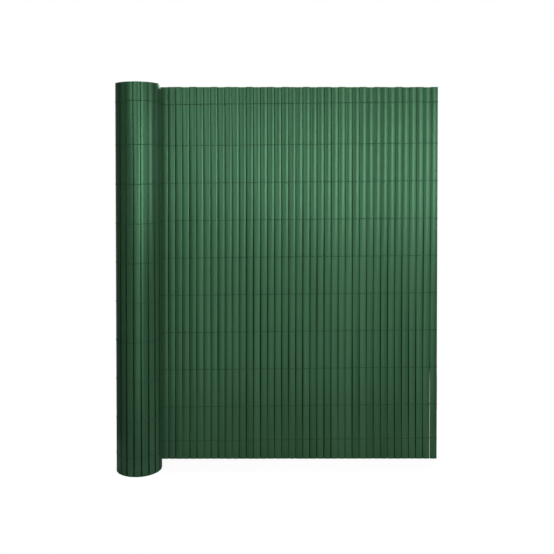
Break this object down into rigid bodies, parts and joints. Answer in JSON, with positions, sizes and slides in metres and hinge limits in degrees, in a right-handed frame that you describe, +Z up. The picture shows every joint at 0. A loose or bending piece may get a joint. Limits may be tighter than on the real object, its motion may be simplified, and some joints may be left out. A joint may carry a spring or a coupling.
{
  "type": "pvc privacy screen",
  "caption": "Garden privacy screen of upright hollow green PVC slats bound by cords, standing with a flat run and the rest in a roll.",
  "frame": {"origin": "middle of the screen's box, on the ground", "axes": "+X along the flat run from the roll to the free end, +Y from the front to the back, +Z up"},
  "size_m": [0.8504, 0.1216, 1],
  "materials": {
    "green_pvc": "satin extruded PVC",
    "binding_cord": "twined synthetic cord"
  },
  "bodies": {
    "root": {"rolled_slats": "green_pvc", "slat_01": "green_pvc", "slat_02": "green_pvc", "slat_03": "green_pvc", "slat_04": "green_pvc", "slat_05": "green_pvc", "slat_06": "green_pvc", "slat_07": "green_pvc", "slat_08": "green_pvc", "slat_09": "green_pvc", "slat_10": "green_pvc", "slat_11": "green_pvc", "slat_12": "green_pvc", "slat_13": "green_pvc", "slat_14": "green_pvc", "slat_15": "green_pvc", "slat_16": "green_pvc", "slat_17": "green_pvc", "slat_18": "green_pvc", "slat_19": "green_pvc", "slat_20": "green_pvc", "slat_21": "green_pvc", "slat_22": "green_pvc", "slat_23": "green_pvc", "slat_24": "green_pvc", "slat_25": "green_pvc", "slat_26": "green_pvc", "slat_27": "green_pvc", "slat_28": "green_pvc", "slat_29": "green_pvc", "slat_30": "green_pvc", "slat_31": "green_pvc", "slat_32": "green_pvc", "slat_33": "green_pvc", "slat_34": "green_pvc", "slat_35": "green_pvc", "slat_36": "green_pvc", "slat_37": "green_pvc", "slat_38": "green_pvc", "slat_39": "green_pvc", "slat_40": "green_pvc", "slat_41": "green_pvc", "binding_cord_01": "binding_cord", "binding_cord_02": "binding_cord", "binding_cord_03": "binding_cord", "binding_cord_04": "binding_cord", "binding_cord_05": "binding_cord", "binding_cord_06": "binding_cord", "binding_cord_07": "binding_cord", "binding_cord_08": "binding_cord", "binding_cord_09": "binding_cord", "binding_cord_10": "binding_cord"}
  },
  "joints": []
}
